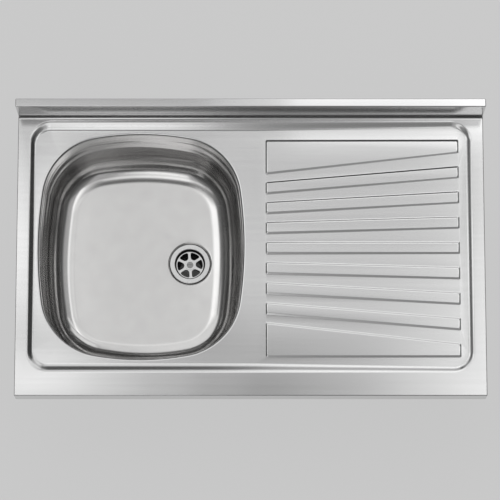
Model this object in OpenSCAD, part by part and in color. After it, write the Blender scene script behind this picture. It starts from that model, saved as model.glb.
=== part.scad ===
// Lay-on kitchen sink: one deep-drawn bowl on the left, a pressed drainer on the right and an
// upstand along the back. Millimetres. The origin is the centre of the plane on which the
// folded edges rest on the cabinet; +X is to the right, +Y to the wall and +Z up.

/* [Overall] */
// Width from side to side
width = 800; // [760:5:1000]
// Depth from front to wall
depth = 500; // [480:5:600]
// Height of the folded edge, from the cabinet to the rim
edge_h = 38; // [30:1:50]
// Thickness of the stainless sheet
sheet = 0.8; // [0.6:0.1:1.2]
// Width of the edge's return, which rests on the cabinet
return_w = 16; // [14:1:24]
// Height of the lip that stands up from the return
lip_h = 8; // [6:0.5:12]
// Outer radius of the folds
fold_r = 1.8; // [1.4:0.1:2.4]

/* [Upstand] */
// Height of the upstand above the rim
upstand_h = 70; // [30:1:80]
// Thickness of the upstand, from its face to the wall
upstand_t = 14.5; // [12:0.5:20]
// Radius of the bend between the rim and the upstand's face
bend_r = 5; // [3:0.5:6]

/* [Wet area] */
// Width of the flat rim at each side
rim_side = 19.5; // [12:0.5:24]
// Width of the flat rim at the front
rim_front = 39; // [36:0.5:60]
// Flat strip between the wet area and the bend of the upstand
rim_rear = 1.5; // [1:0.5:6]
// Depth of the wet area round the bowl
wet_depth = 7; // [5:0.5:9]
// How much higher the drainer's far end lies, so that it drains to the bowl
drain_rise = 2.5; // [1:0.5:3.5]
// Width of the slope at the sides of the wet area
slope_side = 11.5; // [9:0.5:14]
// Width of the slope at the front and rear of the wet area, beside the bowl
slope_long = 18; // [14:0.5:20]
// Outer corner radius of the wet area
wet_r = 37; // [32:1:45]

/* [Bowl] */
// Width of the bowl's opening
bowl_w = 349; // [320:1:352]
// Flat strip between the left slope and the bowl's rolled edge
bowl_left_strip = 3.2; // [2:0.1:10]
// Flat strip between the front slope and the bowl's rolled edge
bowl_front_strip = 3.5; // [2:0.5:20]
// Flat strip between the rear slope and the bowl's rolled edge
bowl_rear_strip = 1.5; // [1:0.5:20]
// Depth of the bowl below the wet area
bowl_depth = 150; // [130:5:180]
// Radius of the barrelled left and right sides
bowl_side_r = 700; // [600:10:900]
// Radius of the barrelled front and rear
bowl_end_r = 442; // [400:10:600]
// Corner radius of the opening
bowl_corner_r = 108; // [90:1:115]
// Draft of the walls, in degrees
bowl_draft = 5; // [3:0.5:7]
// Radius between the walls and the floor
floor_r = 44; // [40:1:60]
// Radius with which the deck rolls over into the bowl
roll_r = 4; // [3:0.5:5]
// Fall of the floor from its edge to the outlet
floor_fall = 4; // [2:0.5:8]

/* [Drainer] */
// Number of raised ribs
rib_count = 9; // [7:2:11]
// Width of a rib over its slopes
rib_w = 23.2; // [18:0.1:26]
// Height of the ribs
rib_h = 2; // [1:0.1:2.5]
// Width of the slope along a rib
rib_slope = 4.5; // [3:0.1:6]
// Width of the slope at a rib's ends
rib_end_slope = 2.5; // [1.5:0.1:4]
// Pitch of the ribs at the bowl, as a share of their pitch at the far end
rib_fan = 0.79; // [0.7:0.01:1]
// Flat strip between the bowl's rolled edge and the ribs
rib_left_strip = 34.1; // [20:0.1:60]
// Flat strip between the ribs and the right slope
rib_right_strip = 11.7; // [6:0.1:40]
// Flat strip between the front slope and the first rib
rib_front_strip = 8.9; // [6:0.1:30]
// Flat strip between the rear slope and the last rib
rib_rear_strip = 14.3; // [6:0.1:30]

/* [Waste] */
// Strip of floor between the outlet's seat and the fillet at the bowl's right
outlet_margin = 2; // [1:0.5:40]
// Diameter of the waste's flange
flange_d = 70; // [66:1:80]
// Diameter of the waste's mouth
mouth_d = 53; // [48:1:56]
// Depth of the strainer below the flange
strainer_drop = 11; // [8:0.5:14]
// Width of the strainer's rim, outside its slots
strainer_rim = 4; // [2:0.5:5]
// Depth of the seat pressed into the bowl's floor
seat_drop = 2.6; // [2:0.1:4]
// Number of spokes of the strainer
spoke_count = 6; // [5:1:8]
// Width of a spoke
spoke_w = 4.2; // [3:0.1:5]
// How far the spokes are turned, in degrees
spoke_turn = 4; // [0:1:30]
// Diameter of the strainer's middle, inside its slots
hub_d = 20; // [17:0.5:22]
// Thread diameter of the clamping screw
screw_d = 6; // [5:0.5:8]
// Outside diameter of the threaded outlet
tail_d = 47.8; // [42:0.1:48]
// Bore of the outlet
tail_bore = 40; // [34:0.5:41]
// Length of the threaded outlet
tail_len = 28; // [20:1:40]

/* [Fixing brackets] */
// Width of a bracket along the edge
bracket_w = 28; // [20:1:40]
// Thickness of a bracket
bracket_t = 1.5; // [1:0.1:2]
// How far a bracket reaches below the cabinet's top
bracket_drop = 55; // [45:1:80]
// Distance of the brackets from the sink's centre line
bracket_y = 150; // [120:5:160]
// Diameter of a bracket's screw hole
bracket_hole_d = 4.6; // [4:0.1:6]

/* [Stiffeners and pads] */
// Height of the stiffening channels
channel_h = 20; // [12:1:25]
// Thickness of the channels' steel
channel_t = 1; // [0.8:0.1:1.5]
// Distance of the first channel under the drainer from the ribs' left end
brace_near_in = 70; // [50:5:110]
// Distance of the second channel from the drainer's far end
brace_far_in = 80; // [60:5:110]
// Thickness of the sound-deadening pads
pad_t = 3; // [2:0.5:5]
// Bare strip of floor at the left and right of the pad under the bowl
floor_pad_margin = 17; // [10:1:30]
// Length of the pad under the bowl's floor
floor_pad_l = 180; // [120:5:190]
// Length of the pad under the drainer
drainer_pad_l = 260; // [150:10:330]

/* [Hidden] */

// Glued and welded faces stand this far apart, and soft or curved ones a little more
seat_gap = 0.05;
soft_gap = 0.3;
eps = 0.5;

half_w = width / 2;
half_d = depth / 2;
rim_z = edge_h;
wet_z = rim_z - wet_depth;
face_y = half_d - upstand_t;

wet_left = -half_w + rim_side;
wet_right = half_w - rim_side;
wet_front = -half_d + rim_front;
wet_back = face_y - bend_r - rim_rear;
// The front and rear slopes keep their pitch, so they narrow as the drainer rises
slope_far = slope_long * (wet_depth - drain_rise) / wet_depth;
corner_steps = 8;
// Each pair is how far down the slope of the wet area a line lies, across and in height
slope_steps = [[0, 0], [0.1, 0.03], [0.25, 0.18], [0.75, 0.82], [0.9, 0.97], [1, 1]];

bowl_left = wet_left + slope_side + bowl_left_strip + roll_r;
bowl_front = wet_front + slope_long + bowl_front_strip + roll_r;
bowl_rear = wet_back - slope_long - bowl_rear_strip - roll_r;
bowl_l = bowl_rear - bowl_front;
bowl_x = bowl_left + bowl_w / 2;
bowl_y = (bowl_front + bowl_rear) / 2;
rib_start = bowl_left + bowl_w + roll_r + rib_left_strip;
// The drainer starts to rise halfway between the bowl and the ribs
fold_x = rib_start - rib_left_strip / 2;

arc_steps = 8;
ring_n = 8 * arc_steps;
roll_steps = 4;
fillet_steps = 8;
bowl_floor_z = wet_z - bowl_depth;
// The wall's section, as [offset from the opening, height]: roll, straight wall and fillet
wall_down = [sin(bowl_draft), cos(bowl_draft)];
wall_out = [cos(bowl_draft), -sin(bowl_draft)];
roll_c = [roll_r, wet_z - roll_r];
roll_end = roll_c - roll_r * wall_out;
fillet_z = bowl_floor_z + floor_r;
fillet_top = fillet_z - floor_r * sin(bowl_draft);
fillet_x = roll_end[0] - (roll_end[1] - fillet_top) * tan(bowl_draft) - floor_r * wall_out[0];
fillet_c = [fillet_x, fillet_z];

// The floor falls to the outlet like a shallow cone
seat_play = 0.6;
seat_r = flange_d / 2 + seat_play;
seat_slope = seat_drop + 0.8;
seat_edge = seat_r + seat_slope;
floor_half = bowl_w / 2 + fillet_x;
outlet_off = floor_half - outlet_margin - seat_edge;
floor_reach = floor_half + outlet_off;
outlet_x = bowl_x + outlet_off;
outlet_y = bowl_y;
outlet_z = bowl_floor_z - floor_fall;
seat_z = outlet_z - seat_drop;
cup_t = 1;
cup_r = mouth_d / 2 + cup_t;
hole_r = cup_r + 1;

// Waste, from the flange down to the threaded outlet
gasket_t = 1;
flange_t = 1.2;
flange_edge = 1;
flange_z = seat_z + seat_gap + gasket_t + seat_gap;
flange_top = flange_z + flange_t;
grid_t = 1.6;
grid_z = flange_top - strainer_drop - cup_t;
slot_r = 2.6;
hub_h = 3;
hub_step = 1.2;
screw_r = screw_d / 2;
screw_play = 0.3;
head_r = 5.8;
head_h = 2.6;
head_z = grid_z + hub_h + 0.6;
head_slot_w = 1.4;
head_slot_h = 1.2;
lower_gasket_t = 2.5;
lower_gasket_z = seat_z - sheet - seat_gap - lower_gasket_t;
body_z = lower_gasket_z - seat_gap;
body_wall = 3;
body_flange_t = 4;
throat_r = cup_r + 0.5;
throat_h = 16;
throat_z = body_z - throat_h;
cone_h = 12;
cone_z = throat_z - cone_h;
cone_foot = 2;
tail_z = cone_z - tail_len;
nut_across = 10;
nut_r = nut_across / (2 * cos(30));
nut_h = 5;
nut_play = 0.1;
nut_z = throat_z + 1;
boss_r = nut_r + 2.7;
boss_z = nut_z - 3;
boss_top = nut_z + nut_h + 2;
boss_ribs = 3;
boss_rib_t = 2.5;
boss_rib_h = 6;
screw_tip = 1;

rib_steps = [[0, 0], [0.12, 0.07], [0.88, 0.93], [1, 1]];
rib_corner = 2.2;
rib_end = wet_right - slope_side - rib_right_strip;
// The outermost ribs run out to straight edges
rib_front = wet_front + slope_long + rib_front_strip;
rib_rear = wet_back - slope_long - rib_rear_strip;
rib_back = (rib_front + rib_rear) / 2;
rib_edge = (rib_rear - rib_front) / 2;
rib_edge_extra = 2;
rib_mid = (rib_count - 1) / 2;
rib_pitch_far = (rib_edge - rib_edge_extra - rib_w / 2) / rib_mid;
rib_pitch_near = rib_fan * rib_pitch_far;

// Top-hat channels, with flanges against the sheet and a web below
channel_w = 44;
channel_web = 22;
brace_near = rib_start + brace_near_in;
brace_far = wet_right - brace_far_in;
brace_inset = 12;
brace_len = 2 * (rib_edge - brace_inset);
front_clear = 4;
front_w = rim_front - sheet - fold_r - front_clear;
front_web = 16;
front_len = width - 2 * return_w - 20;
pad_clear = 12;
drainer_pad_w = brace_far - brace_near - channel_w - 2 * pad_clear;
// The wall pads cover this share of the straight wall, from the roll down
wall_pad_span = [0.15, 0.8];
wall_pad_half = arc_steps / 2 - 1;

// Tag for the earth wire, on the inside of the rear edge
tag_w = 16;
tag_t = 1.2;
tag_h = 14;
tag_reach = 34;
tag_hole_d = 5;
tag_from_end = 70;
tag_x = half_w - tag_from_end;
tag_z = 14;

// Fixing brackets: a round hole, and below it an oblique slot that pulls the sink down
bracket_play = 0.3;
hook_in = 5;
hole_z = -18;
slot_z = -38;
slot_len = 16;
slot_tilt = 25;

function lerp(a, b, t) = a + (b - a) * t;
function arc(c, r, a0, a1, n) =
    [for (i = [0 : n]) let (a = lerp(a0, a1, i / n)) c + r * [cos(a), sin(a)]];
function open_end(list) = [for (i = [0 : len(list) - 2]) list[i]];

// Depth of the wet area's floor below the rim at x
function wet_drop(x) = wet_depth - drain_rise * max(0, x - fold_x) / (wet_right - fold_x);
function wet_floor(x) = rim_z - wet_drop(x);
drain_angle = atan(drain_rise / (wet_right - fold_x));

// Outline of the wet area, s of the way down its slope, counted from the rear left corner
function wet_outline(s) = let (
        side = s * slope_side,
        near = s * slope_long,
        far = s * slope_far,
        r = wet_r - side,
        xl = wet_left + side,
        xr = wet_right - side)
    concat(
        arc([xl + r, wet_back - near - r], r, 90, 180, corner_steps),
        arc([xl + r, wet_front + near + r], r, 180, 270, corner_steps),
        [[fold_x, wet_front + near]],
        arc([xr - r, wet_front + far + r], r, 270, 360, corner_steps),
        arc([xr - r, wet_back - far - r], r, 0, 90, corner_steps),
        [[fold_x, wet_back - near]]);
function wet_line(step) = [for (p = wet_outline(step[0]))
    [p[0], p[1], rim_z - step[1] * wet_drop(p[0])]];
wet_n = len(wet_outline(0));
fold_front = 2 * (corner_steps + 1);
fold_rear = wet_n - 1;

// Outline of the bowl: four long arcs that meet four corner arcs, moved outward by o
side_c = bowl_w / 2 - bowl_side_r;
end_c = bowl_l / 2 - bowl_end_r;
centres_d = norm([side_c, end_c]);
side_reach = bowl_side_r - bowl_corner_r;
end_reach = bowl_end_r - bowl_corner_r;
along = (pow(side_reach, 2) - pow(end_reach, 2) + pow(centres_d, 2)) / (2 * centres_d);
across = sqrt(pow(side_reach, 2) - pow(along, 2));
centres_dir = [-side_c, end_c] / centres_d;
corner_c = [side_c, 0] + along * centres_dir + across * [-centres_dir[1], centres_dir[0]];
side_a = atan2(corner_c[1], corner_c[0] - side_c);
end_a = atan2(corner_c[1] - end_c, corner_c[0]);
function bowl_outline(o) = let (
        rs = bowl_side_r + o,
        re = bowl_end_r + o,
        rc = bowl_corner_r + o,
        cx = corner_c[0],
        cy = corner_c[1],
        arcs = [
            arc([side_c, 0], rs, -side_a, side_a, arc_steps),
            arc([cx, cy], rc, side_a, end_a, arc_steps),
            arc([0, end_c], re, end_a, 180 - end_a, arc_steps),
            arc([-cx, cy], rc, 180 - end_a, 180 - side_a, arc_steps),
            arc([-side_c, 0], rs, 180 - side_a, 180 + side_a, arc_steps),
            arc([-cx, -cy], rc, 180 + side_a, 180 + end_a, arc_steps),
            arc([0, -end_c], re, 180 + end_a, 360 - end_a, arc_steps),
            arc([cx, -cy], rc, 360 - end_a, 360 - side_a, arc_steps)])
    [for (a = arcs) for (p = open_end(a)) p + [bowl_x, bowl_y]];
// Height of the floor's cone above the outlet
function floor_rise(p) = floor_fall * (norm(p - [outlet_x, outlet_y]) - seat_edge)
    / (floor_reach - seat_edge);
// A line round the bowl at q = [offset, height, share of the floor's fall]
function bowl_ring(q) = [for (p = bowl_outline(q[0]))
    [p[0], p[1], q[1] - q[2] * (floor_fall - floor_rise(p))]];
function outlet_ring(q) = [for (k = [0 : ring_n - 1])
    let (a = 360 * (k - arc_steps / 2) / ring_n)
    [outlet_x + q[0] * cos(a), outlet_y + q[0] * sin(a), q[1]]];

// Sections, o outside the bowl's inner face
function roll_section(o) = [for (i = [0 : roll_steps])
    let (a = lerp(90, 180 - bowl_draft, i / roll_steps), p = roll_c + (roll_r - o) * [cos(a), sin(a)])
    [p[0], p[1], 0]];
function wall_section(o) = let (weld = roll_end + o * wall_out - seat_gap * wall_down)
    concat([[weld[0], weld[1], 0]], [for (i = [0 : fillet_steps]) let (
        t = i / fillet_steps,
        a = lerp(bowl_draft, 90, t),
        p = fillet_c + (floor_r + o) * [cos(a), -sin(a)])
        [p[0], p[1], t * t * (3 - 2 * t)]]);
// Section of the outlet's seat as [radius, height], o below its upper face
function seat_section(o) = [
    [seat_edge, outlet_z - o],
    [seat_edge - 1, outlet_z - 0.4 - o],
    [seat_r + 0.3, seat_z + 0.3 - o],
    [seat_r - 0.5, seat_z - o],
    [hole_r, seat_z - o]];

// Triangles between two closed lines of as many points, the outer one first
function band(a, b) = let (n = len(a)) [for (k = [0 : n - 1])
    let (l = (k + 1) % n) each [[a[k], b[k], a[l]], [a[l], b[k], b[l]]]];
// Triangles between two closed lines of any number of points, the outer one first
function nearest(pts, a, b) = let (
        gaps = [for (k = b) norm(pts[k] - pts[a[0]])],
        s = search(min(gaps), gaps)[0])
    [for (k = [0 : len(b) - 1]) b[(k + s) % len(b)]];
function stitch(pts, a, b, i = 0, j = 0) = let (
        na = len(a), nb = len(b),
        a0 = a[i % na], a1 = a[(i + 1) % na],
        b0 = b[j % nb], b1 = b[(j + 1) % nb])
    i == na && j == nb ? []
    : j == nb || (i < na && norm(pts[a1] - pts[b0]) < norm(pts[a0] - pts[b1]))
        ? concat([[a0, b0, a1]], stitch(pts, a, b, i + 1, j))
        : concat([[a0, b0, b1]], stitch(pts, a, b, i, j + 1));
function join(pts, a, b) = stitch(pts, a, nearest(pts, a, b));
function span(start, n) = [for (k = [0 : n - 1]) start + k];
function flip(faces, shift) = [for (f = faces) [f[2] + shift, f[1] + shift, f[0] + shift]];

// A sheet from rings of as many points: its upper side, its lower side and its two edges
module ring_sheet(upper, lower, n) {
    rings = len(upper) / n;
    shift = len(upper);
    top = [for (r = [0 : rings - 2]) each band(span(r * n, n), span((r + 1) * n, n))];
    rim = band(span(shift, n), span(0, n));
    hole = band(span((rings - 1) * n, n), span(shift + (rings - 1) * n, n));
    polyhedron(concat(upper, lower), concat(top, flip(top, shift), rim, hole));
}

// Ribs of the drainer, numbered from the front
function rib_y(k, x) = rib_back
    + (k - rib_mid) * lerp(rib_pitch_near, rib_pitch_far, (x - rib_start) / (rib_end - rib_start));
function rib_low(k, x) = k == 0 ? rib_front : rib_y(k, x) - rib_w / 2;
function rib_high(k, x) = k == rib_count - 1 ? rib_rear : rib_y(k, x) + rib_w / 2;
cell_margin = 5;
function cell_edge(k, x) = k == 0 ? rib_front - cell_margin
    : k == rib_count ? rib_rear + cell_margin
    : (rib_high(k - 1, x) + rib_low(k, x)) / 2;
cell_left = rib_start - cell_margin;
cell_right = rib_end + cell_margin;
corner_pts = 3;
rib_n = 4 * corner_pts;
function rib_ring(k, step) = let (
        s = step[0] * rib_slope,
        e = step[0] * rib_end_slope,
        r = rib_corner,
        xl = rib_start + e + r,
        xr = rib_end - e - r,
        outline = concat(
            arc([xl, rib_high(k, xl) - s - r], r, 90, 180, corner_pts - 1),
            arc([xl, rib_low(k, xl) + s + r], r, 180, 270, corner_pts - 1),
            arc([xr, rib_low(k, xr) + s + r], r, 270, 360, corner_pts - 1),
            arc([xr, rib_high(k, xr) - s - r], r, 0, 90, corner_pts - 1)))
    [for (p = outline) [p[0], p[1], wet_floor(p[0]) + step[1] * rib_h]];

// Points of the pressed wet area, o below its upper face, in this order: the lines of the
// slope, the rings that roll into the bowl, the corners of the ribs' cells and the ribs
function pressed_points(o) = concat(
    [for (step = slope_steps) each [for (p = wet_line(step)) p - [0, 0, o]]],
    [for (q = roll_section(o)) each bowl_ring(q)],
    [for (x = [cell_left, cell_right]) for (k = [0 : rib_count])
        [x, cell_edge(k, x), wet_floor(x) - o]],
    [for (k = [0 : rib_count - 1]) for (step = rib_steps)
        each [for (p = rib_ring(k, step)) p - [0, 0, o]]]);
roll_start = len(slope_steps) * wet_n;
cells_start = roll_start + (roll_steps + 1) * ring_n;
ribs_start = cells_start + 2 * (rib_count + 1);
function wet_span(i) = span(i * wet_n, wet_n);
function roll_span(i) = span(roll_start + i * ring_n, ring_n);
function cell_at(side, k) = cells_start + side * (rib_count + 1) + k;
function rib_span(k, i) = span(ribs_start + (k * len(rib_steps) + i) * rib_n, rib_n);

function pressed_faces(pts) = let (
        inner = wet_span(len(slope_steps) - 1),
        left = [for (k = [0 : fold_front]) inner[k], inner[fold_rear]],
        right = [for (k = [fold_front : fold_rear]) inner[k]],
        field = concat(
            [for (k = [rib_count : -1 : 0]) cell_at(0, k)],
            [for (k = [0 : rib_count]) cell_at(1, k)]))
    concat(
        [for (i = [0 : len(slope_steps) - 2]) each band(wet_span(i), wet_span(i + 1))],
        join(pts, left, roll_span(0)),
        [for (i = [0 : roll_steps - 1]) each band(roll_span(i), roll_span(i + 1))],
        join(pts, right, field),
        [for (k = [0 : rib_count - 1]) each concat(
            join(pts, [cell_at(0, k + 1), cell_at(0, k), cell_at(1, k), cell_at(1, k + 1)],
                rib_span(k, 0)),
            [for (i = [0 : len(rib_steps) - 2]) each band(rib_span(k, i), rib_span(k, i + 1))],
            let (top = rib_span(k, len(rib_steps) - 1))
                [for (i = [1 : rib_n - 2]) [top[0], top[i + 1], top[i]]])]);

module pressed_area() {
    upper = pressed_points(0);
    lower = pressed_points(sheet);
    shift = len(upper);
    top = pressed_faces(upper);
    outside = band([for (k = wet_span(0)) k + shift], wet_span(0));
    weld = band(roll_span(roll_steps), [for (k = roll_span(roll_steps)) k + shift]);
    polyhedron(concat(upper, lower), concat(top, flip(top, shift), outside, weld));
}

// What is cut from a square corner at p to round it, its body lying towards d
module corner_cut(p, d, r) {
    translate(p) difference() {
        translate([d[0] < 0 ? -r : -eps, d[1] < 0 ? -r : -eps]) square(r + eps);
        translate(r * d) circle(r, $fn = 48);
    }
}

// Section of the folded edges and the upstand, o inside their outer faces
module edge_section(o) {
    r = fold_r - o;
    back = half_d - o;
    face = face_y + o;
    difference() {
        union() {
            translate([-back, o]) square([2 * back, rim_z - 2 * o]);
            translate([face, o]) square([back - face, rim_z + upstand_h - 2 * o]);
            difference() {
                translate([face_y - bend_r, rim_z - 2 * sheet])
                    square([bend_r + 2 * sheet, bend_r + 2 * sheet]);
                translate([face_y - bend_r, rim_z + bend_r]) circle(bend_r + o, $fn = 96);
            }
        }
        corner_cut([-back, o], [1, 1], r);
        corner_cut([-back, rim_z - o], [1, -1], r);
        corner_cut([back, o], [-1, 1], r);
        corner_cut([back, rim_z + upstand_h - o], [-1, -1], r);
        corner_cut([face, rim_z + upstand_h - o], [1, -1], r);
    }
}

module edge_block(o) {
    translate([-half_w + o, 0, 0]) rotate([90, 0, 90])
        linear_extrude(width - 2 * o) edge_section(o);
}

module inset_block(inset, z0, z1) {
    translate([-half_w + inset, -half_d + inset, z0])
        cube([width - 2 * inset, depth - 2 * inset, z1 - z0]);
}

module deck() {
    color("gainsboro") union() {
        difference() {
            edge_block(0);
            difference() {
                edge_block(sheet);
                difference() {
                    inset_block(return_w - sheet, 0, lip_h);
                    inset_block(return_w, -eps, lip_h + eps);
                }
            }
            inset_block(return_w, -eps, lip_h);
            translate([0, 0, wet_z]) linear_extrude(2 * wet_depth) polygon(wet_outline(0));
        }
        pressed_area();
    }
}

module bowl() {
    color("silver") ring_sheet(
        concat([for (q = wall_section(0)) each bowl_ring(q)],
            [for (q = seat_section(0)) each outlet_ring(q)]),
        concat([for (q = wall_section(sheet)) each bowl_ring(q)],
            [for (q = seat_section(sheet)) each outlet_ring(q)]),
        ring_n);
}

module at_outlet(z) {
    translate([outlet_x, outlet_y, z]) children();
}

module ring(r_in, r_out, h) {
    difference() {
        cylinder(h, r = r_out, $fn = 96);
        translate([0, 0, -eps]) cylinder(h + 2 * eps, r = r_in, $fn = 96);
    }
}

// Slot of the strainer towards +X: round at the hub, with rounded corners at the rim
function strainer_slot() = let (
        half = 180 / spoke_count,
        outer = cup_r - cup_t - strainer_rim,
        corner_a = half - asin((spoke_w / 2 + slot_r) / (outer - slot_r)),
        corner = (outer - slot_r) * [cos(corner_a), sin(corner_a)],
        inner_r = (hub_d / 2 * sin(half) - spoke_w / 2) / (1 - sin(half)),
        side = 90 + half)
    concat(
        arc([0, 0], outer, -corner_a, corner_a, arc_steps),
        arc(corner, slot_r, corner_a, side, arc_steps),
        arc([hub_d / 2 + inner_r, 0], inner_r, side, 360 - side, arc_steps),
        arc([corner[0], -corner[1]], slot_r, -side, -corner_a, arc_steps));

// Half section of the flange, the cup, and the strainer with its hub
module flange_section() {
    outer = flange_d / 2;
    inner = cup_r - cup_t;
    bore = screw_r + screw_play;
    difference() {
        union() {
            translate([inner, flange_z]) square([outer - inner, flange_t]);
            translate([inner, grid_z]) square([cup_t, flange_top - grid_z]);
            translate([0, grid_z]) square([cup_r, grid_t]);
            translate([0, grid_z]) square([hub_d / 2 - hub_step, hub_h]);
        }
        corner_cut([outer, flange_top], [-1, -1], flange_edge);
        corner_cut([inner, flange_top], [1, -1], flange_edge);
        translate([0, grid_z - eps]) square([bore, hub_h + 2 * eps]);
        polygon([[0, head_z - head_h], [bore, head_z - head_h],
            [head_r + screw_play, head_z], [0, head_z]]);
    }
}

module waste_flange() {
    color("whitesmoke") at_outlet(0) difference() {
        rotate_extrude($fn = 96) flange_section();
        for (k = [1 : spoke_count]) rotate(90 + spoke_turn + 360 * (k - 0.5) / spoke_count)
            translate([0, 0, grid_z - eps]) linear_extrude(hub_h + 2 * eps)
                polygon(strainer_slot());
    }
}

module waste_screw() {
    foot = boss_z - screw_tip;
    color("gainsboro") at_outlet(0) difference() {
        union() {
            translate([0, 0, head_z - head_h])
                cylinder(head_h, r1 = screw_r, r2 = head_r, $fn = 48);
            translate([0, 0, foot]) cylinder(head_z - head_h - foot, r = screw_r, $fn = 48);
        }
        translate([-head_r - eps, -head_slot_w / 2, head_z - head_slot_h])
            cube([2 * (head_r + eps), head_slot_w, head_slot_h + eps]);
    }
}

module waste_top_gasket() {
    color("dimgray") at_outlet(seat_z + seat_gap)
        ring(cup_r + soft_gap, flange_d / 2 - 1, gasket_t);
}

module waste_lower_gasket() {
    color("dimgray") at_outlet(lower_gasket_z)
        ring(hole_r + 0.5, seat_r - 1, lower_gasket_t);
}

// Half section of the body's flange, throat and cone
module body_section() {
    r_tail = tail_d / 2;
    r_bore = tail_bore / 2;
    r_throat = throat_r + body_wall;
    flange_low = body_z - body_flange_t;
    polygon([[r_bore, cone_z], [r_tail, cone_z], [r_tail, cone_z + cone_foot],
        [r_throat, throat_z], [r_throat, flange_low], [seat_r, flange_low],
        [seat_r, body_z], [throat_r, body_z], [throat_r, throat_z],
        [r_bore, cone_z + cone_foot]]);
}

module waste_body() {
    color("darkslategray") at_outlet(0) difference() {
        union() {
            rotate_extrude($fn = 96) body_section();
            translate([0, 0, tail_z]) ring(tail_bore / 2, tail_d / 2, tail_len);
            translate([0, 0, boss_z]) cylinder(boss_top - boss_z, r = boss_r, $fn = 48);
            for (k = [1 : boss_ribs]) rotate(90 + 360 * k / boss_ribs)
                translate([0, -boss_rib_t / 2, throat_z])
                    cube([throat_r + body_wall / 2, boss_rib_t, boss_rib_h]);
        }
        translate([0, 0, boss_z - eps])
            cylinder(boss_top - boss_z + 2 * eps, r = screw_r + screw_play, $fn = 48);
        translate([0, 0, nut_z]) cylinder(boss_top - nut_z + eps, r = nut_r + nut_play, $fn = 6);
    }
}

module waste_nut() {
    color("goldenrod") at_outlet(nut_z + seat_gap) difference() {
        cylinder(nut_h, r = nut_r, $fn = 6);
        translate([0, 0, -eps])
            cylinder(nut_h + 2 * eps, r = screw_r + seat_gap, $fn = 48);
    }
}

// Pads follow the sheet that they are glued to: a patch of its underside, made thicker
module patch(upper, lower, rows, n) {
    shift = len(upper);
    top = [for (r = [0 : rows - 2]) for (k = [0 : n - 2])
        let (a = r * n + k, b = a + n) each [[a, b, a + 1], [a + 1, b, b + 1]]];
    edge = concat([for (k = [0 : n - 1]) k],
        [for (r = [1 : rows - 1]) r * n + n - 1],
        [for (k = [n - 2 : -1 : 0]) (rows - 1) * n + k],
        [for (r = [rows - 2 : -1 : 1]) r * n]);
    m = len(edge);
    walls = [for (i = [0 : m - 1]) let (a = edge[i], b = edge[(i + 1) % m])
        each [[a, b, a + shift], [b, b + shift, a + shift]]];
    polyhedron(concat(upper, lower), concat(top, flip(top, shift), walls));
}

// The wall's outer face between two places round the bowl and two places down the wall
function wall_patch(first, last, o) = let (section = wall_section(o))
    [for (t = wall_pad_span) let (ring = bowl_ring(lerp(section[0], section[1], t)))
        each [for (k = [first : last]) ring[k]]];

module wall_pad(middle) {
    first = middle - wall_pad_half;
    last = middle + wall_pad_half;
    patch(wall_patch(first, last, sheet + soft_gap),
        wall_patch(first, last, sheet + soft_gap + pad_t), 2, last - first + 1);
}

module bowl_rear_pad() {
    color("dimgray") wall_pad(2.5 * arc_steps);
}

module bowl_front_pad() {
    color("dimgray") wall_pad(6.5 * arc_steps);
}

// The floor's underside left of the outlet, from the wall's fillet to the outlet's seat
function floor_patch(drop) = let (
        section = wall_section(sheet),
        outside = bowl_ring(section[len(section) - 1]),
        inside = outlet_ring(seat_section(sheet)[0]))
    [for (ring = [outside, inside]) each
        [for (k = [2.5 * arc_steps : 6.5 * arc_steps]) ring[k] - [0, 0, drop]]];

module bowl_floor_pad() {
    left = bowl_x - floor_half + floor_pad_margin;
    right = outlet_x - seat_edge - floor_pad_margin;
    color("dimgray") intersection() {
        patch(floor_patch(soft_gap), floor_patch(soft_gap + pad_t), 2, 4 * arc_steps + 1);
        translate([left, bowl_y - floor_pad_l / 2, outlet_z - sheet - 2 * pad_t])
            cube([right - left, floor_pad_l, floor_fall + 3 * pad_t]);
    }
}

// Something flat under the sloping drainer, centred at x, top face against the sheet
module under_drainer(x) {
    translate([x, rib_back, wet_floor(x) - sheet / cos(drain_angle) - seat_gap])
        rotate([0, -drain_angle, 0]) children();
}

module drainer_pad() {
    color("dimgray") under_drainer((brace_near + brace_far) / 2)
        translate([-drainer_pad_w / 2, -drainer_pad_l / 2, -pad_t])
            cube([drainer_pad_w, drainer_pad_l, pad_t]);
}

module channel_profile(w, web) {
    t = channel_t;
    foot = (w - web) / 2 + t;
    for (side = [-1, 1]) {
        translate([side > 0 ? w / 2 - foot : -w / 2, -t]) square([foot, t]);
        translate([side > 0 ? web / 2 - t : -web / 2, -channel_h]) square([t, channel_h]);
    }
    translate([-web / 2, -channel_h]) square([web, t]);
}

module drainer_brace(x) {
    color("lightslategray") under_drainer(x) translate([0, brace_len / 2, 0])
        rotate([90, 0, 0]) linear_extrude(brace_len) channel_profile(channel_w, channel_web);
}

module drainer_brace_near() {
    drainer_brace(brace_near);
}

module drainer_brace_far() {
    drainer_brace(brace_far);
}

module front_channel() {
    middle = (-half_d + sheet + fold_r + wet_front) / 2;
    color("lightslategray") translate([-front_len / 2, middle, rim_z - sheet - seat_gap])
        rotate([90, 0, 90]) linear_extrude(front_len) channel_profile(front_w, front_web);
}

module earth_tag() {
    y = half_d - sheet - seat_gap;
    color("silver") difference() {
        union() {
            translate([tag_x - tag_w / 2, y - tag_t, tag_z]) cube([tag_w, tag_t, tag_h]);
            translate([tag_x - tag_w / 2, y - tag_reach, tag_z]) cube([tag_w, tag_reach, tag_t]);
        }
        translate([tag_x, y - tag_reach + tag_w / 2, tag_z - eps])
            cylinder(tag_t + 2 * eps, d = tag_hole_d, $fn = 48);
    }
}

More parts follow.
